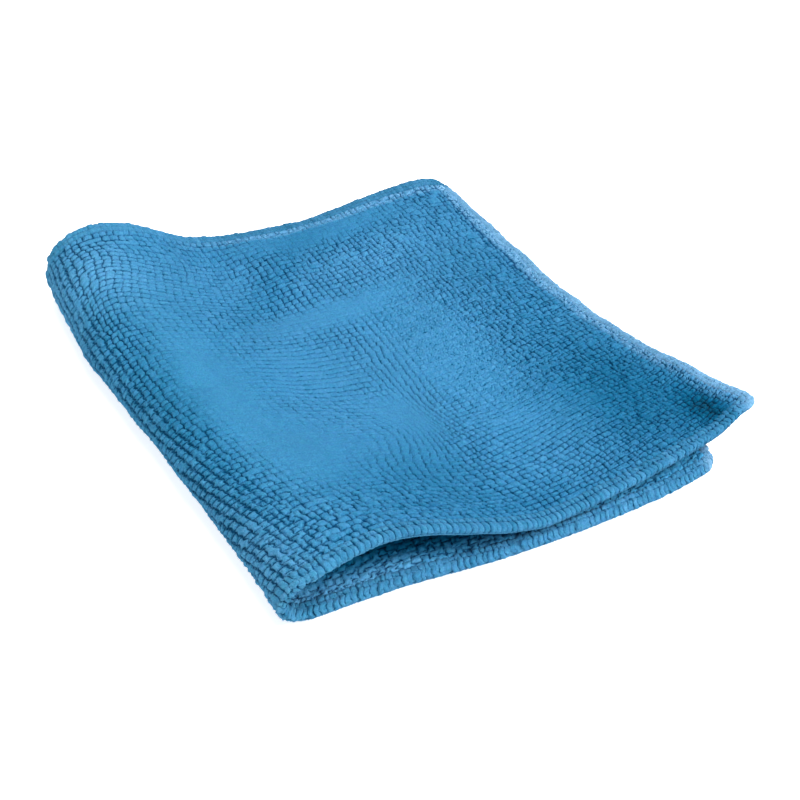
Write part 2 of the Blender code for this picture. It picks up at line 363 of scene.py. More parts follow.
def fabric(name, deep_colour, crown_colour, fibre=1.0, sheen=0.04, worn=0.10, greener=0.005):
    """Microfibre: deep_colour down in the grooves, a painted shade, crown_colour on top, both uneven.

    The values "crown" (0 in a groove, 1 on top), "tone" (each loop's own shade, with painted light
    and shade added) and "pale" (1 where fibre ends stand fluffed, a painted sheen) come with the
    mesh; the rest is worked out from the place on the object."""
    mat = bpy.data.materials.new(name)
    mat.use_nodes = True
    tree = mat.node_tree
    link = tree.links.new
    shader = tree.nodes["Principled BSDF"]
    shader.inputs["Metallic"].default_value = 0.0
    shader.inputs["Specular IOR Level"].default_value = 0.04
    shader.inputs["Sheen Weight"].default_value = sheen
    shader.inputs["Sheen Roughness"].default_value = 0.45
    shader.inputs["Sheen Tint"].default_value = (0.45, 0.72, 1.0, 1.0)
    place = tree.nodes.new("ShaderNodeTexCoord").outputs["Object"]

    def noise(scale, detail, rough=0.55, stretch=None):
        n = node(tree, "ShaderNodeTexNoise", Scale=scale, Detail=detail, Roughness=rough)
        if stretch is None:
            link(place, n.inputs["Vector"])
        else:
            m = tree.nodes.new("ShaderNodeMapping")
            m.inputs["Scale"].default_value = stretch
            link(place, m.inputs["Vector"])
            link(m.outputs["Vector"], n.inputs["Vector"])
        return n.outputs[0]

    def from_mesh(key):
        n = tree.nodes.new("ShaderNodeAttribute")
        n.attribute_name = key
        return n.outputs["Fac"]

    def blend(factor, a, b):
        n = tree.nodes.new("ShaderNodeMix")
        n.data_type = "RGBA"
        link(factor, n.inputs[0])
        for socket, colour in ((6, a), (7, b)):
            if isinstance(colour, tuple):
                n.inputs[socket].default_value = colour
            else:
                link(colour, n.inputs[socket])
        return n.outputs[2]

    patches = noise(48.0, 2.0)               # worn and brushed areas, 20 mm across
    clumps = noise(620.0, 3.0, 0.6)          # from loop to loop
    fibres = noise(2600.0, 4.0, 0.7)         # single fibres

    # painted shade: the grooves between the pillows take deep_colour, on top of the shade the geometry casts there
    ramp = tree.nodes.new("ShaderNodeMapRange")
    ramp.inputs["From Min"].default_value = 0.26
    ramp.inputs["From Max"].default_value = 0.74
    wobble = math_node(tree, "MULTIPLY", math_node(tree, "SUBTRACT", clumps, 0.5), 1.1)
    ragged = math_node(tree, "MULTIPLY", math_node(tree, "SUBTRACT", fibres, 0.5), 0.9)
    edge = math_node(tree, "ADD", math_node(tree, "ADD", from_mesh("crown"), wobble), ragged)
    link(edge, ramp.inputs["Value"])
    colour = blend(ramp.outputs[0], (*deep_colour, 1), (*crown_colour, 1))
    # painted sheen: the pale colour goes in where the mesh's pale value says, flecked by the fibres and less in the
    # grooves
    ends = math_node(tree, "MULTIPLY_ADD", fibres, 1.6)
    ends.node.inputs[2].default_value = 0.1
    above = math_node(tree, "MULTIPLY_ADD", ramp.outputs[0], 0.85)
    above.node.inputs[2].default_value = 0.15
    ends = math_node(tree, "MULTIPLY", ends, above)
    colour = blend(math_node(tree, "MULTIPLY", from_mesh("pale"), ends), colour, PALE)

    value = math_node(tree, "MULTIPLY_ADD", patches, worn * 2.4)
    value.node.inputs[2].default_value = 1.0 - worn * 1.2
    grain = math_node(tree, "MULTIPLY_ADD", fibres, 1.3)
    grain.node.inputs[2].default_value = 0.35
    # tone: each loop's own shade plus painted light and shade; a darker tone is also more saturated
    tone_and_painted_light = from_mesh("tone")
    shade = math_node(tree, "MULTIPLY", math_node(tree, "MULTIPLY", value, grain),
                      math_node(tree, "ADD", tone_and_painted_light, 1.0))
    hsv = node(tree, "ShaderNodeHueSaturation")
    link(shade, hsv.inputs["Value"])
    rich = math_node(tree, "MULTIPLY_ADD", tone_and_painted_light, -0.20)
    rich.node.inputs[2].default_value = 1.0
    link(rich, hsv.inputs["Saturation"])
    hue = math_node(tree, "MULTIPLY_ADD", clumps, 0.04)
    hue.node.inputs[2].default_value = 0.475
    # painted shade: round the roll, on its side turned from the light, the blue is a touch greener
    split = tree.nodes.new("ShaderNodeSeparateXYZ")
    link(place, split.inputs[0])
    roll = tree.nodes.new("ShaderNodeMapRange")
    for key, value in (("From Min", -0.100), ("From Max", -0.050), ("To Min", greener), ("To Max", 0.0)):
        roll.inputs[key].default_value = value
    link(split.outputs["X"], roll.inputs["Value"])
    link(math_node(tree, "SUBTRACT", hue, roll.outputs[0]), hsv.inputs["Hue"])
    link(colour, hsv.inputs["Color"])
    link(hsv.outputs["Color"], shader.inputs["Base Color"])

    rough = math_node(tree, "MULTIPLY_ADD", clumps, 0.2)
    rough.node.inputs[2].default_value = 0.8
    link(rough, shader.inputs["Roughness"])

    streaks = noise(1500.0, 3.0, 0.6, (1.0, 0.45, 1.0))
    relief = math_node(tree, "ADD", fibres, streaks)
    bump = node(tree, "ShaderNodeBump", Strength=fibre, Distance=0.0004)
    link(relief, bump.inputs["Height"])
    link(bump.outputs["Normal"], shader.inputs["Normal"])
    return mat


PILE = fabric("microfibre_pile", (0.0008, 0.046, 0.138), (0.038, 0.187, 0.380))
# inner faces: a darker, more saturated copy of the pile's colours, painted shade for the light that bounces round
# inside the fold
INNER = fabric("microfibre_inside_shaded", (0.0008, 0.036, 0.110), (0.022, 0.190, 0.385), sheen=0.0, greener=0.0)
BASE = fabric("microfibre_ground", (0.0008, 0.030, 0.095), (0.006, 0.065, 0.16), sheen=0.0)
THREAD = fabric("overlock_thread", (0.0008, 0.044, 0.135), (0.042, 0.190, 0.370), sheen=0.08)


# ---------------------------------------------------------------- ground fabric
def hem_lines(length, cells):
    """places along one side of the ground: close together at the hems, even between"""
    hem = np.array([0, 0.5, 1.4, 3.0, 5.2, 7.0, 9.0])
    return np.concatenate([hem, np.linspace(9.0, length - 9.0, cells + 1)[1:-1], length - hem[::-1]])


def rounded(A, B):
    """a square grid of cloth places, drawn in to the rounded corners"""
    r = CORNER_R
    W, D = cloth.wide, cloth.deep
    p = np.where(A < r, (r - A) / r, np.where(A > W - r, (A - W + r) / r, 0))
    q = np.where(B < r, (r - B) / r, np.where(B > D - r, (B - D + r) / r, 0))
    p2 = p * np.sqrt(1 - q * q / 2) * r
    q2 = q * np.sqrt(1 - p * p / 2) * r
    A = np.where(A < r, r - p2, np.where(A > W - r, W - r + p2, A))
    B = np.where(B < r, r - q2, np.where(B > D - r, D - r + q2, B))
    return A, B


def make_ground():
    la = hem_lines(cloth.wide, 124)
    lb = hem_lines(cloth.deep, 56)
    A, B = rounded(*np.meshgrid(la, lb, indexing="ij"))
    d = cloth.inset(A, B)
    # the stitches reach a little past the ground's own edge
    A = 0.8 + A * (1 - 1.6 / cloth.wide)
    B = 0.8 + B * (1 - 1.6 / cloth.deep)
    # half thickness: a round rim, the turned hem, the field
    half = np.interp(d, (0, 0.5, 1.4, 3.0, 4.8, 7.0), (0.25, 0.75, 1.0, 1.05, 0.85, GROUND))
    na, nb = A.shape
    top = cloth.place(A, B, half).reshape(-1, 3)
    low = cloth.place(A, B, -half).reshape(-1, 3)
    idx = np.arange(na * nb).reshape(na, nb)
    quad = np.stack([idx[:-1, :-1], idx[1:, :-1], idx[1:, 1:], idx[:-1, 1:]], -1).reshape(-1, 4)
    under = quad[:, ::-1] + na * nb
    loop = np.concatenate([idx[:, 0], idx[-1, 1:], idx[-2::-1, -1], idx[0, -2:0:-1]])
    after = np.roll(loop, -1)
    rim = np.stack([loop, loop + na * nb, after + na * nb, after], -1)
    none = np.zeros(2 * na * nb)
    return new_piece("cloth_ground", np.concatenate([top, low]), [quad, under, rim], BASE,
                     {"crown": none + 0.3, "tone": none, "pale": none})


# ---------------------------------------------------------------- how the pile lies
# All in mm along the cloth: run is the way from the fold's nose towards the upper right
# hem, up the way from the front hem to the back one.
#
# Patches brushed flat, where the grooves close up: those between columns, which run from
# the front to the back, and those between courses, which run along the hems.
LIE_COLS = ("run", "up", "half_run", "half_up", "turn_deg", "columns", "courses")
LIE = (
    (35, 96, 17, 48, -4, 0.97, 0.95),
    (44, 52, 20, 26, -30, 0.90, 0.90),
    (50, 166, 36, 28, 0, 0.55, 0.10),
    (70, 100, 26, 25, 0, 0.92, 0.15),
    (105, 90, 12, 38, -10, 0.10, 0.97),
    (86, 66, 17, 15, 0, 0.97, 0.97),
    (72, 44, 16, 20, -40, 0.42, 0.96),
    (98, 134, 42, 9, 6, 0.88, 0.86),
    (130, 95, 20, 45, 0, 0.85, 0.85),
    (124, 188, 46, 8, 0, 0.82, 0.82),
    (136, 42, 28, 19, 0, 0.70, 0.0),
    (168, 158, 24, 30, 0, 0.0, 0.45),
    (199, 150, 7, 66, 0, 0.80, 0.80),
)
# Places where the pile turns: the whole grid swings round them, counter-clockwise.
TURN_COLS = ("run", "up", "radius", "turn_deg")
TURNS = (
    (76, 42, 21, -29),
    (106, 92, 34, -10),
    (36, 168, 26, -18),
    (120, 30, 26, 8),
    (128, 160, 26, 6),
)
# Places the pile is drawn in to.
DRAW_COLS = ("run", "up", "radius", "run_pull", "up_pull")
DRAWS = (
    (92, 60, 24, 0.42, 0.30),
)
# Soft lighter and darker patches of the pile, lighter above 0, in mm of the frame: partly the brushed
# pile's own tone, partly painted light and painted shade for how the light falls on the roll, the
# creases, the rise to the right and the pocket by the tip.
NAP_AND_PAINTED_LIGHT_COLS = ("x", "y", "half_x", "half_y", "turn_deg", "shade")
NAP_AND_PAINTED_LIGHT = (
    (66, -60, 27, 40, 10, -0.38),
    (90, -80, 10, 11, 0, -0.60),
    (72, 20, 20, 46, 0, -0.10),
    (-20, 62, 9, 36, -46, -0.15),
    (-34, -68, 30, 22, 0, -0.20),
    (-6, -94, 44, 10, 0, -0.15),
    (10, 88, 46, 10, 0, -0.12),
    (-62, 0, 16, 50, 0, -0.05),
    (-88, 76, 17, 20, 0, 0.27),
    (-94, -10, 12, 60, 0, -0.20),
    (-94, -86, 12, 20, 0, 0.10),
    (30, 62, 34, 14, 10, 0.10),
    (100, -76, 7, 14, 0, 0.44),
    (90, 26, 9, 34, 0, 0.12),
)


def blob(x, y, cx, cy, hx, hy, turn, power):
    """1 in the middle of a tilted patch, fading to 0 past its half sizes"""
    c, s = cos(radians(turn)), sin(radians(turn))
    u = ((x - cx) * c + (y - cy) * s) / hx
    v = (-(x - cx) * s + (y - cy) * c) / hy
    return np.exp(-(u * u + v * v) ** power)


def lie(A, B, side):
    """how open the grooves between columns and between courses are, and how ragged they run"""
    run = A - cloth.nose
    columns = np.ones(np.shape(A))
    courses = np.ones(np.shape(A))
    if side > 0:
        for cx, cy, hx, hy, turn, close_columns, close_courses in LIE:
            w = blob(run, B, cx, cy, hx, hy, turn, 1.6)
            columns = columns * (1 - close_columns * w)
            courses = courses * (1 - close_courses * w)
        ragged = (0.25 + 0.75 * smooth((run - 132) / 24)
                  + 0.7 * smooth(1.3 - np.hypot((run - 26) / 40, (B - 12) / 26))
                  + 0.5 * smooth((B - 150) / 20) * smooth((run - 60) / 30))
    else:
        # the inner faces are fluffed up, most of all beside the hems
        ragged = 1.0 + np.zeros(np.shape(A))
        deeper = smooth((cloth.inset(A, B) - 8) / 8)
        columns = columns - 0.70 - 0.15 * deeper
        courses = courses - 0.60 - 0.15 * deeper
    return columns, courses, np.clip(ragged, 0, 1)


def drift(A, B):
    """the grid as it lies, with its turns and pulls; nothing moves at the hems"""
    calm = smooth(cloth.inset(A, B) / 14 - 0.4) * smooth((A - cloth.nose - 8) / 14)
    run = A - cloth.nose
    up = B
    for cx, cy, radius, turn in TURNS:
        x, y = run - cx, up - cy
        t = radians(turn) * np.exp(-(x * x + y * y) / radius**2) * calm
        run = cx + x * np.cos(t) - y * np.sin(t)
        up = cy + x * np.sin(t) + y * np.cos(t)
    for cx, cy, radius, pull_run, pull_up in DRAWS:
        x, y = run - cx, up - cy
        w = np.exp(-(x * x + y * y) / radius**2) * calm
        run = run - pull_run * w * x
        up = up - pull_up * w * y
    return run + cloth.nose, up


def nap_and_painted_light(points):
    """the brushed pile's tone together with painted light and shade, at these points of the upper layer"""
    x, y, z = (points[..., k] / MM for k in range(3))
    shade = np.zeros(x.shape)
    for cx, cy, hx, hy, turn, amount in NAP_AND_PAINTED_LIGHT:
        shade += amount * blob(x, y, cx, cy, hx, hy, turn, 1.0)
    return shade * smooth((z - 4.5) / 2)


def inner_painted_light(A, B):
    """painted light and shade of the inner faces: painted light beside the front hem at the fold, painted shade deep
    down inside
    """
    low = smooth((cloth.nose - A) / 20 + 0.5)
    away = smooth((cloth.nose - A - 54) / 30)
    return low * ((0.50 - 0.32 * away) * smooth((14 - B) / 8)
                  - 0.38 * smooth((B - 10 + 3 * away) / 7) * smooth((cloth.deep - 10 - B) / 7))


# ---------------------------------------------------------------- pile
# Places of the mesh lines across one pillow, from groove to groove.
FINE = (0.0, 0.09, 0.26, 0.5, 0.74, 0.91)
PLAIN = (0.0, 0.15, 0.5, 0.85)


def crown_shape(t, power=3.4):
    """height over a pillow, 1 in its middle and 0 in the groove at t = 0 and 1"""
    return np.sqrt(np.maximum(1 - np.abs(2 * t - 1) ** power, 0))


def column_places(phase):
    """where across the cloth the groove of that number lies; COLUMNS is at the upper right hem"""
    A = np.linspace(FIELD, cloth.wide - FIELD, 1200)
    run = A - cloth.nose
    pitch = (3.2 - 0.35 * smooth((run + 50) / 16) * (1 - smooth((run - 14) / 16))
             - 0.45 * smooth((run - 116) / 22))
    count = np.concatenate([[0], np.cumsum(1 / pitch[1:])])
    return np.interp(phase, count * COLUMNS / count[-1], A)


def swaying(rng, A, B, waves, span):
    """slow wander of the rows, about 1 at most"""
    f = rng.uniform(-span, span, (waves, 2))
    h = rng.uniform(0, 2 * np.pi, waves)
    return sum(np.sin(A * f[k, 0] + B * f[k, 1] + h[k]) for k in range(waves)) / np.sqrt(waves)


def row_places(phase, A):
    """where along the fold the groove of that number lies; 0 is at the front, ROWS at the back"""
    lo, hi = FIELD, cloth.deep - FIELD
    u = np.linspace(0, 1, 600)
    pitch = 0.82 + 0.26 * smooth((u - 0.22) / 0.3)
    run = np.concatenate([[0], np.cumsum(0.5 * (pitch[1:] + pitch[:-1]))])
    stretched = np.interp(phase / ROWS, u, run / run[-1])
    over = smooth((A - cloth.nose - 18) / 60)
    return lo + (hi - lo) * (stretched * over + phase / ROWS * (1 - over))


def pile_field(side, lines, seed):
    """The whole pile of one face as one grid: (points, crown, tone, pale, mesh lines a pillow).

    Columns run along the fold.  Round the fold every other one is half a pillow further on,
    as bricks lie; on the flat the courses run through instead, and their joints wander."""
    rng = np.random.default_rng(seed)
    R = len(lines)
    K, M = COLUMNS, ROWS
    lines = np.array(lines)
    base = column_places(np.arange(K + 1))[:, None]
    pitch = np.gradient(base, axis=0)
    J = np.arange(R * M + 1)
    nodes = np.linspace(0, len(J) - 1, 2 * M + 1)

    def along(values):
        """values at every half pillow, read at each mesh line"""
        return np.stack([np.interp(J, nodes, v) for v in values])

    middle = 0.5 * (base[1:, 0] + base[:-1, 0])
    brick = (middle < cloth.nose + BRICK) if side > 0 else np.ones(K, bool)
    half = np.where(brick & (np.arange(K) % 2 == 1), R // 2, 0)

    # grooves between columns: their wander and depth
    groove = base + np.zeros(len(J))
    row = np.minimum(J // R, M - 1)
    part = (J - R * row) / R
    open_columns, _, ragged = lie(groove, row_places(J / R + np.zeros_like(groove), groove), side)
    step = rng.normal(0, 1, (K + 1, M)).clip(-1.8, 1.8)
    step = np.where(part == 0, 0.5 * (step[:, row] + step[:, np.maximum(row - 1, 0)]), step[:, row])
    lean = np.where((part == 0) | (part == 1), 0, part - 0.5)
    wander = along(rng.normal(0, 0.20, (K + 1, 2 * M + 1)).clip(-0.45, 0.45))
    parity = np.where(np.arange(K + 1) % 2, 1.0, -1.0)[:, None]
    bricks = 0.50 * parity * np.cos(2 * np.pi * J / R)[None]
    courses = pitch * ((0.03 + 0.17 * ragged) * step + (0.26 - 0.2 * ragged) * lean)
    flat = np.concatenate([~brick, ~brick[-1:]])[:, None]
    move = (wander * np.where(flat, 1.0, 1.3)
            + rng.normal(0, 1, groove.shape) * np.where(flat, 0.04 + 0.06 * ragged, 0.04)
            + np.where(flat, courses, bricks))
    groove = groove + move.clip(-0.38 * pitch, 0.38 * pitch)
    groove[0], groove[-1] = base[0], base[-1]
    deep_a = along(rng.normal(0.96, 0.2, (K + 1, 2 * M + 1)).clip(0.25, 1.1))
    joined = rng.random((K + 1, M)) < np.where(flat, 0.03, 0.05) + 0.14 * ragged[:, R // 2::R][:, :M]
    deep_a *= open_columns * np.where(joined[:, row], 0.2, 1.0) * np.where(flat, 1.0, 0.80)
    seam = int(np.argmin(np.abs(base - (cloth.wide - 11))))
    if side > 0:
        # one groove runs wide open along the back half of the right hem
        deep_a[seam] = np.maximum(deep_a[seam], 1.1 * smooth((J / len(J) - 0.54) / 0.1))

    # grooves between courses, at each column
    n_all = np.arange(M + 3)
    at_a = middle[:, None] + np.zeros(M + 3)
    at_b = row_places(np.clip(n_all - half[:, None] / R, 0, M), at_a)
    _, open_courses, ragged_b = lie(at_a, at_b, side)
    shift = rng.normal(0, 1, (K, M + 3)).clip(-2, 2) * (0.04 + 0.12 * ragged_b + 0.02 * brick[:, None])
    deep_b_all = rng.normal(0.96, 0.2, (K, M + 3)).clip(0.25, 1.1) * open_courses
    deep_b_all = np.where(brick[:, None], 0.45 + 0.62 * deep_b_all, deep_b_all)
    run = at_a - cloth.nose
    long_ones = 0.05 * (1 - smooth((run - 24) / 10)) * smooth((run + 60) / 10)
    deep_b_all *= np.where(rng.random((K, M + 3)) < 0.02 + 0.12 * ragged_b + long_ones, 0.2, 1.0)
    soft = np.sqrt(lie(at_a, at_b, side)[0] * open_courses).clip(0, 1)
    tall_all = PILE_TOP - 0.14 + rng.normal(0, 0.11, (K, M + 3)).clip(-0.3, 0.18) * (0.15 + 0.85 * soft)
    shade_all = rng.normal(0, 0.03, (K, M + 3)).clip(-0.08, 0.08) * (0.3 + 0.7 * soft)
    tip_all = rng.normal(0, 0.085, (2, K, M + 3)) * (0.2 + 0.8 * soft)
    # round the fold and towards the right hem the pillows are rounder, and some split across
    round_all = np.maximum(1 - smooth((run - 20) / 24), 0.5 * smooth((run - 116) / 24))
    split_all = (rng.random((K, M + 3)) < 0.36 * (run > 60)) * round_all.clip(0, 0.75)
    split_all = split_all * soft if side > 0 else np.zeros_like(soft)
    power_all = 3.8 - 1.35 * round_all - 0.2 * brick[:, None]
    if side > 0:
        power_all[seam - 1:seam + 1, int(0.58 * M):] = 1.5
        power_all[seam - 1:seam + 1, int(0.68 * M):int(0.93 * M)] = 0.8

    A = np.zeros((R * K + 1, len(J)))
    phase = np.zeros_like(A)
    H = np.zeros_like(A)
    tone = np.zeros_like(A)
    share = np.zeros_like(A)
    for k in range(K):
        n = (J + half[k]) // R
        r = (J + half[k]) % R
        bounds = n_all - (0.5 if half[k] else 0.0) + shift[k]
        if not half[k]:
            bounds[0], bounds[M] = 0, M
        ph = bounds[n] + (bounds[n + 1] - bounds[n]) * lines[r]
        ph[0], ph[-1] = 0, M
        near = np.where(lines[r] < 0.5, deep_b_all[k, n], deep_b_all[k, n + 1])
        gb = 1 - near * (1 - crown_shape(lines[r], power_all[k, n]))
        gb = gb * (1 - split_all[k, n] * (lines[r] == 0.5))
        for i in range(R + 1):
            t = lines[i] if i < R else 1.0
            I = R * k + i
            edge = deep_a[k] if t < 0.5 else deep_a[k + 1]
            body = (1 - edge * (1 - crown_shape(t, power_all[k, n]))) * gb
            A[I] += groove[k] + (groove[k + 1] - groove[k]) * t
            phase[I] += ph
            H[I] += body * (tall_all[k, n] - PILE_FOOT + tip_all[0, k, n] * (2 * t - 1)
                            + tip_all[1, k, n] * (2 * lines[r] - 1))
            tone[I] += shade_all[k, n]
            share[I] += 1
    A, phase, H, tone = A / share, phase / share, H / share, tone / share
    B = row_places(phase, A)
    full = PILE_TOP - 0.12 - PILE_FOOT
    if side > 0:
        A, B = drift(A, B)
    calm = smooth(cloth.inset(A, B) / 12 - 0.45)
    A = A + calm * (0.45 * swaying(rng, A, B, 7, 0.13) + 0.9 * swaying(rng, A, B, 4, 0.05))
    B = B + calm * (0.50 * swaying(rng, A, B, 7, 0.13) + 1.1 * swaying(rng, A, B, 4, 0.05))
    # every crown is a clump of fibres, none of them quite smooth; in a patch on the flat,
    # beside the free hem and on the inner faces they are sandy all over
    if side > 0:
        sandy = np.maximum(blob(A - cloth.nose, B, 133, 92, 24, 50, 0, 1.5),
                           1.3 * smooth((A - cloth.wide + 9.8) / 2))
    else:
        sandy = 0.9 + 0 * A
    calm, brushed, _ = lie(A, B, side)
    brushed = 1 - np.sqrt(np.clip(calm * brushed, 0, 1)) * (1 - np.minimum(sandy, 1))
    clump = rng.normal(0, 1, H.shape).clip(-2, 2)
    H = H + clump * (0.08 - 0.05 * brushed + 0.09 * sandy) * np.clip(H / full, 0.2, 1)
    tone = tone + clump * (0.07 - 0.04 * brushed + 0.09 * sandy)
    # tucked in under the hem all round; deeply, where the needle line shows as a groove
    run = A - cloth.nose
    tuck = 0.45 * full * (smooth((run - 70) / 40) * (B < 20) if side > 0 else 1 + 0 * A)
    for border in (np.s_[0], np.s_[-1], np.s_[:, 0], np.s_[:, -1]):
        H[border] = tuck[border]
    crown = H / full + clump * 0.22 * sandy
    points = cloth.place(A, B, side * (PILE_FOOT + H))
    if side < 0:
        # the inner faces get painted light beside the front hem and painted shade deeper in
        return points, crown, tone + inner_painted_light(A, B), 0 * A, R
    # painted sheen of fluffed fibre ends: beside the free hem, on a row of loops along the back hem,
    # which is also made lighter, and a little of it all over the fold
    loops = smooth((B - cloth.deep + 9.6) / 1.4) * smooth((run - 48) / 62)
    tone = tone + loops * (0.10 + 0.10 * clump)
    other = rng.normal(0, 1, H.shape).clip(-2, 2)
    pale = (smooth((A - cloth.wide + 12) / 5) * (1 - 0.6 * smooth((46 - B) / 20)) * (0.5 + 0.2 * other)
            + loops * (0.26 + 0.12 * other)
            + smooth((run + 40) / 20) * (1 - smooth((run + 2) / 16)) * (0.11 + 0.05 * other))
    # the tone takes the table's painted light and shade
    return points, crown, tone + nap_and_painted_light(points), pale.clip(0, 1), R


def field_piece(name, field, first, last, side, keep=None):
    """the columns first .. last of a pile grid as a mesh; keep picks single mesh faces"""
    points, crown, tone, pale, R = field
    cut = slice(R * first, R * last + 1)
    P, C, T, ends = points[cut], crown[cut], tone[cut], pale[cut]
    idx = np.arange(P.shape[0] * P.shape[1]).reshape(P.shape[:2])
    quad = np.stack([idx[:-1, :-1], idx[1:, :-1], idx[1:, 1:], idx[:-1, 1:]], -1)
    if side < 0:
        quad = quad[..., ::-1]
    quad = quad.reshape(-1, 4) if keep is None else quad[keep[R * first:R * last]]
    used = np.unique(quad)
    new = np.zeros(idx.size, int)
    new[used] = np.arange(len(used))
    return new_piece(name, P.reshape(-1, 3)[used], [new[quad]], PILE if side > 0 else INNER,
                     {"crown": C.reshape(-1)[used], "tone": T.reshape(-1)[used], "pale": ends.reshape(-1)[used]})


def make_pile():
    made = []
    places = column_places(np.arange(COLUMNS + 1))

    def column(A):
        return int(np.argmin(np.abs(places - A)))

    outer = pile_field(1, FINE, 21)
    cuts = (column(cloth.nose - 24), column(cloth.nose + 52), column(cloth.nose + 126), COLUMNS)
    for k, name in enumerate(("fold", "middle", "right")):
        made.append(field_piece("pile_" + name, outer, cuts[k], cuts[k + 1], 1))
    made.append(field_piece("pile_under", pile_field(1, PLAIN, 23), 0, cuts[0], 1))

    inner = pile_field(-1, PLAIN, 22)
    R = len(PLAIN)
    fa = column_places((np.arange(R * COLUMNS) + 0.5) / R)
    fb = FIELD + (np.arange(R * ROWS) + 0.5) / R * (cloth.deep - 2 * FIELD) / ROWS
    keep = cloth.inset(*np.meshgrid(fa, fb, indexing="ij")) < INSIDE
    turn = column(cloth.nose)
    made.append(field_piece("pile_inside_low", inner, 0, turn, -1, keep))
    made.append(field_piece("pile_inside_high", inner, turn, COLUMNS, -1, keep))
    return made


# ---------------------------------------------------------------- hem
# Foot of the overlock stitches round the cut edge of the upper layer, from the outer face
# to the inner one: distance in from the edge, height over the middle, how far the threads
# stand off it, and how much the strand is a smooth lip (1) or a rib (0).
# The lower layer's hem is the same turned over, so its lip is at the bottom too.
HEM_COLS = ("inset", "height", "relief", "lip")
HEM_PATH = (
    # a row of short loops at the needle line
    (5.00, 0.80, 0.00, 0), (4.80, 1.05, 0.50, 0), (4.10, 1.20, 0.80, 0), (3.30, 1.22, 0.80, 0), (2.95, 1.20, 0.50, 0),
    # the crease, then the rib over the shoulder and the rim
    (2.75, 1.18, 0.06, 0), (2.50, 1.18, 0.50, 0), (1.85, 1.12, 0.76, 0), (1.15, 0.98, 0.80, 0), (0.66, 0.58, 0.78, 0),
    (0.48, 0.10, 0.76, 0), (0.44, -0.36, 0.70, 0), (0.48, -0.60, 0.46, 0),
    # the lip, where the threads lock, and the run back over the inner face
    (0.52, -0.72, 0.22, 0.2), (0.60, -0.86, 0.62, 1), (0.80, -1.08, 0.66, 1), (1.15, -1.18, 0.60, 1), (1.50, -1.19, 0.36, 0.8),
    (1.75, -1.18, 0.10, 0), (2.20, -1.18, 0.50, 0), (3.10, -1.20, 0.78, 0), (4.10, -1.18, 0.78, 0), (4.80, -1.05, 0.50, 0),
    (5.00, -0.80, 0.00, 0),
)
STITCH_LINES = (0.0, 0.09, 0.28, 0.5, 0.72, 0.91)


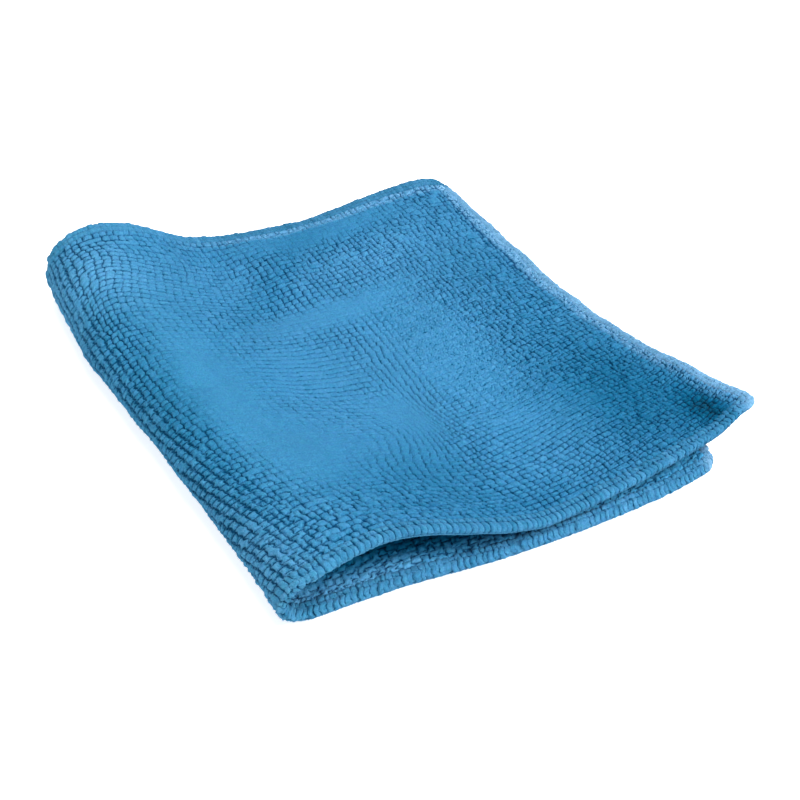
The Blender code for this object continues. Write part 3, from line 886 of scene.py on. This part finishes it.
def make_hem():
    """the stitches side by side all the way round the cut edge, as one surface"""
    rng = np.random.default_rng(61)
    total = cloth.edge_length()
    n = int(round(total / STITCH))
    pitch = total / n
    path = np.array(HEM_PATH)
    steps = len(path)
    turned = path[::-1] * (1, -1, 1, 1)

    def outward(p):
        tangent = np.gradient(p[:, :2], axis=0)
        tangent /= np.sqrt((tangent**2).sum(1, keepdims=True))
        out = np.stack([tangent[:, 1], -tangent[:, 0]], 1)
        return out * np.sign((out * (p[:, :2] - (3.0, 0.0))).sum(1, keepdims=True))

    upper = np.concatenate([path, outward(path)], 1)
    lower = np.concatenate([turned, outward(turned)], 1)
    lines = np.array(STITCH_LINES)
    R = len(lines)

    # where each stitch is: on the upper or lower layer, at the back, or at the free ends
    at_a, at_b = cloth.edge(np.arange(n) * pitch, 1.0)
    on_top = smooth((at_a - cloth.nose) / 16 + 0.5)
    free = smooth((at_a - cloth.wide + 14) / 10)
    low_free = smooth((10 - at_a) / 7)
    back = smooth((at_b - cloth.deep + 9) / 6)
    plain = np.clip(0.66 * free * (1 - back) + 0.5 * low_free + 0.62 * back, 0, 0.8)
    rows = lower[None] * (1 - on_top[:, None, None]) + upper[None] * on_top[:, None, None]
    # round the fold, on the lower layer and towards the front's free end the threads are
    # buried in fluff
    front = 1 - smooth((at_b - 12) / 10)
    buried = np.clip(np.exp(-((at_a - cloth.nose) / 26) ** 2) + 0.8 * (1 - on_top)
                     + 0.55 * front * smooth((at_a - cloth.nose - 90) / 40), 0, 1)
    ruffled = front * on_top * smooth((at_a - cloth.nose - 110) / 36)

    # each groove between two stitches wanders a little on its way over the edge
    q = np.zeros((R * n, steps))
    relief = np.zeros_like(q)
    crown = np.zeros_like(q)
    tone = np.zeros_like(q)
    pale = np.zeros_like(q)
    inset = np.zeros_like(q)
    height = np.zeros_like(q)
    knots = np.linspace(0, steps - 1, 7)

    def along(values):
        return np.stack([np.interp(np.arange(steps), knots, w) for w in values])

    loose = (1 + 1.1 * buried + 0.6 * (1 - on_top))[:, None]
    wander = along(rng.normal(0, 0.14, (n, 7)).clip(-0.3, 0.3)) * loose
    slant = (0.30 + 0.9 * free[:, None]) * np.linspace(1, -1, steps)[None]
    # on the lower layer and where they are ruffled the ribs are broken into rows that lie as
    # bricks
    shown = rows[..., 1] * (2 * on_top - 1)[:, None]
    broken = np.where(shown > 0.3, np.cos(np.pi * np.clip(rows[..., 0] - 1.2, 0, 2.2)),
                      np.where(shown > -0.5, -1.0, 1.0))
    broken = broken * (1 - on_top + 0.9 * ruffled)[:, None]
    groove = (np.arange(n) * pitch)[:, None] + wander + slant + 0.16 * pitch * broken
    groove = np.concatenate([groove, groove[:1] + total])
    depth = 0.96 + along(rng.normal(0, 0.16, (n, 7)) * (1 + 1.6 * buried[:, None]))
    depth = depth.clip(0.15, 1.0) * (1 - plain[:, None])
    depth *= 1 - 0.25 * smooth((cloth.nose - 14 - at_a) / 30)[:, None]
    depth = np.concatenate([depth, depth[:1]])
    fat = 1 + rng.normal(0, 0.10, n).clip(-0.24, 0.24)
    knob = 1 + along(rng.normal(0, 0.14, (n, 7)).clip(-0.3, 0.3)) * loose
    shade = rng.normal(0, 0.05, n)
    lip = rows[..., 3] * (1 - 0.8 * np.exp(-((at_a - cloth.nose) / 22) ** 2))[:, None]
    # painted sheen where fibre ends fluff out of the lip, and at the free ends out of the whole hem;
    # at the back the hem is smooth and darkened with painted shade
    ends = np.clip(free * (1 - back) + low_free, 0, 1)[:, None]
    far = (back * smooth((at_a - cloth.nose - 54) / 50))[:, None]
    fluff = 0.30 * lip * (1 - 0.85 * front * on_top)[:, None] + ends * np.where(np.abs(rows[..., 1]) < 1.19, 0.85, 0.55) + 0.14 * far
    # painted shade: the hem darker at the back, and a little darker along the upper layer elsewhere
    painted_hem_shade = -0.26 * far - 0.04 * (1 - back[:, None]) * on_top[:, None]
    size = fat[:, None] * knob
    # pillows of fluff across the buried threads
    cross = np.clip(rng.normal(0, 1, (n, steps)), -1.5, 1.5) * 0.20 * buried[:, None] * (1 - lip)
    # the stitches draw in towards the needle line, so the gaps between them open there
    drawn = np.where(rows[..., 1] > 0, np.exp(-((rows[..., 0] - 2.6) / 0.8) ** 2), 0.0)
    for k, t in enumerate(lines):
        r = np.arange(n) * R + k
        q[r] = groove[:-1] + (groove[1:] - groove[:-1]) * t
        g = (crown_shape(np.array(t)) if t else 0.0) ** (1 + 1.6 * drawn)
        edge = depth[:-1] if t < 0.5 else depth[1:]
        body = 1 - edge * (1 - g) * (1 - 0.85 * lip)
        lean = 0.5 * (size + np.roll(size, 1, axis=0)) if t == 0.0 else size
        stand = np.maximum(rows[..., 2], 0.42 * buried[:, None] * (rows[..., 2] > 0)) + cross
        # fluff never opens a hole down to the ground
        stand = np.maximum(stand, 0.26 * buried[:, None] * (rows[..., 2] > 0.1))
        relief[r] = stand * body * (lean * (1 - lip) + lip)
        crown[r] = np.maximum(body * np.clip(stand / 0.5, 0, 1), 0.75 * plain[:, None])
        tone[r] = shade[:, None] * (1 - lip) + painted_hem_shade
        pale[r] = fluff
        inset[r] = rows[..., 0] + rows[..., 4] * relief[r]
        height[r] = rows[..., 1] + rows[..., 5] * relief[r]
    clump = rng.normal(0, 1, q.shape).clip(-2, 2)
    tone += 0.07 * clump
    fuzzy = np.repeat(np.clip(free + low_free + 0.75 * ruffled, 0, 1), R)[:, None]
    crown += 0.28 * clump * np.maximum(fuzzy, 0.55 * np.repeat(1 - on_top, R)[:, None])
    rough = 0.035 + 0.09 * np.maximum(fuzzy, np.repeat(buried, R)[:, None])
    rough *= 1 - 0.75 * np.repeat(back, R)[:, None]
    inset[:, 1:-1] -= (rough * rng.normal(0, 1, q.shape).clip(-2, 2))[:, 1:-1]
    points = cloth.place(*cloth.edge(q, inset), height + rough * clump)
    idx = np.arange(q.size).reshape(q.shape)
    nxt = np.roll(idx, -1, axis=0)
    quad = np.stack([idx[:, :-1], idx[:, 1:], nxt[:, 1:], nxt[:, :-1]], -1).reshape(-1, 4)
    # part of the table's painted light and shade goes on the hem too
    tone = tone + 0.35 * nap_and_painted_light(points)
    return new_piece("hem_stitches", points.reshape(-1, 3), [quad], THREAD,
                     {"crown": crown, "tone": tone, "pale": pale.clip(0, 1)})


ground = make_ground()
parts = make_pile() + [make_hem()]
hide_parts("cloth")


# ---------------------------------------------------------------- floor, light, camera
def stage_material():
    mat = bpy.data.materials.new("pale_floor")
    mat.use_nodes = True
    shader = mat.node_tree.nodes["Principled BSDF"]
    shader.inputs["Base Color"].default_value = (0.92, 0.92, 0.92, 1)
    shader.inputs["Roughness"].default_value = 0.9
    shader.inputs["Specular IOR Level"].default_value = 0.1
    shader.inputs["Emission Color"].default_value = (1, 1, 1, 1)
    shader.inputs["Emission Strength"].default_value = 0.60
    return mat


def make_stage():
    bpy.ops.mesh.primitive_plane_add(size=30.0, location=(0, 0, -0.0002))
    floor = bpy.context.object
    floor.name = "floor"
    floor.data.materials.append(stage_material())
    floor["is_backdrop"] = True


def area_light(name, place, target, size, watts, colour=(1, 1, 1)):
    data = bpy.data.lights.new(name, "AREA")
    data.shape = "DISK"
    data.size = size
    data.energy = watts
    data.color = colour
    lamp = bpy.data.objects.new(name, data)
    lamp.location = place
    lamp.rotation_euler = (Vector(target) - Vector(place)).to_track_quat("-Z", "Y").to_euler()
    bpy.context.scene.collection.objects.link(lamp)


def make_light():
    area_light("top", (0.10, -0.20, 1.20), (0, 0, 0), 0.8, 14.5)
    area_light("key", (0.65, -0.60, 0.65), (0, 0, 0), 0.5, 9.0)
    area_light("front", (-0.75, -0.70, 0.55), (0, 0, 0), 0.9, 3.0)
    world = bpy.data.worlds.new("studio")
    world.use_nodes = True
    back = world.node_tree.nodes["Background"]
    back.inputs["Color"].default_value = (1, 1, 1, 1)
    back.inputs["Strength"].default_value = 0.48
    bpy.context.scene.world = world
    bpy.context.scene.view_settings.view_transform = "Standard"


def make_camera():
    az, down, roll = radians(37.0), radians(37.3), radians(7.1)
    level = Vector((sin(az), cos(az), 0))
    side = Vector((cos(az), -sin(az), 0))
    look = level * cos(down) - Vector((0, 0, 1)) * sin(down)
    top = side.cross(look)
    right = side * cos(roll) + top * sin(roll)
    up = top * cos(roll) - side * sin(roll)
    data = bpy.data.cameras.new("photo_camera")
    data.sensor_width = 36.0
    data.lens = 50.4
    data.clip_start = 0.01
    cam = bpy.data.objects.new("photo_camera", data)
    cam.matrix_world = Matrix((
        (right.x, up.x, -look.x, (-208.8 - CENTRE_X) * MM),
        (right.y, up.y, -look.y, (-287.1 - CENTRE_Y) * MM),
        (right.z, up.z, -look.z, 257.0 * MM),
        (0, 0, 0, 1),
    ))
    bpy.context.scene.collection.objects.link(cam)
    bpy.context.scene.camera = cam


make_stage()
make_light()
make_camera()

counts = {o.name: sum(len(p.vertices) - 2 for p in o.data.polygons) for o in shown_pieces()}
print("pieces:", counts, "all:", sum(counts.values()))
